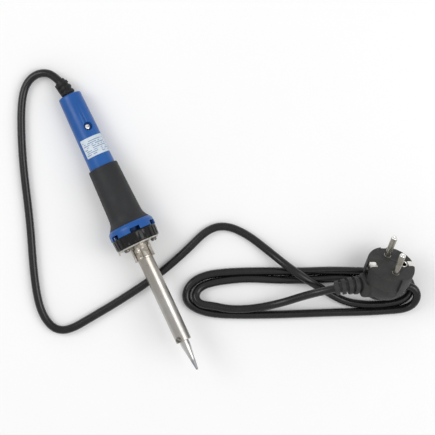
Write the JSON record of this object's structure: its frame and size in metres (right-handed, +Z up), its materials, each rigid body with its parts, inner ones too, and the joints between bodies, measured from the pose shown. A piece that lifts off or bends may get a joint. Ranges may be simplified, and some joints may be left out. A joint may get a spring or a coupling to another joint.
{
  "type": "soldering iron",
  "caption": "Mains soldering iron: blue two-shell handle with rubber grip, steel barrel, removable tip, and a fixed lead ending in an angled earthed plug.",
  "frame": {"origin": "bottom centre of the iron's own box (handle, flange, barrel and tip, without the lead and what is on it), on the surface that the iron lies on", "axes": "+Z up, +X from the rear of the handle towards the tip, +Y towards the plug's side"},
  "size_m": [0.2938, 0.2788, 0.0544],
  "materials": {
    "blue_plastic": "satin",
    "bright_steel": "satin",
    "label_film": "satin",
    "grip_rubber": "matte",
    "phenolic": "gloss",
    "plate_steel": "satin",
    "collar_steel": "satin",
    "dark_screw_steel": "satin",
    "barrel_steel": "polished",
    "plated_copper": "polished",
    "mica": "satin",
    "heater_wire": "matte",
    "ceramic": "matte",
    "glass_fibre": "matte",
    "brass": "satin",
    "brown_pvc": "satin",
    "blue_pvc": "satin",
    "green_pvc": "satin",
    "nylon": "matte",
    "relief_rubber": "matte",
    "cord_rubber": "satin",
    "plug_rubber": "matte",
    "nickel_brass": "polished"
  },
  "bodies": {
    "iron": {"handle_shell_front": "blue_plastic", "handle_shell_back": "blue_plastic", "handle_screw": "bright_steel", "rating_label": "label_film", "grip_sleeve": "grip_rubber", "heat_shield_ring": "phenolic", "mounting_plate": "plate_steel", "barrel_collar": "collar_steel", "flange_screws": "dark_screw_steel", "barrel": "barrel_steel", "tip_bush": "bright_steel", "tip_guide_tube": "bright_steel", "mica_inner_sleeve": "mica", "heater_winding": "heater_wire", "mica_outer_sleeve": "mica", "ceramic_insulator": "ceramic", "heater_lead_live": "heater_wire", "heater_lead_neutral": "heater_wire", "lead_sleeves": "glass_fibre", "terminal_block": "ceramic", "terminal_screws": "brass", "live_conductor": "brown_pvc", "neutral_conductor": "blue_pvc", "earth_conductor": "green_pvc", "earth_tag": "brass", "cord_tie": "nylon", "strain_relief": "relief_rubber", "cord_tail": "cord_rubber", "mains_cord": "cord_rubber", "plug_strain_relief": "plug_rubber", "plug_cord_tail": "cord_rubber", "plug_body": "plug_rubber", "plug_pin_live": "nickel_brass", "plug_pin_neutral": "nickel_brass", "plug_pin_bridge": "nylon", "plug_earth_socket": "nickel_brass", "plug_earth_clips": "nickel_brass"},
    "tip": {"soldering_tip": "plated_copper"},
    "lock_screw": {"tip_lock_screw": "dark_screw_steel"}
  },
  "joints": [
    {"name": "tip_slide", "type": "slide", "parent": "iron", "child": "tip", "axis": [0.9966, 0, 0.0828], "range_m": [0, 0.063]},
    {"name": "lock_screw_turn", "type": "hinge", "parent": "iron", "child": "lock_screw", "pos_m": [0.0889, -0.00361, 0.0318], "axis": [-0.0709, -0.515, 0.8542], "range_deg": [0, 1080]}
  ]
}
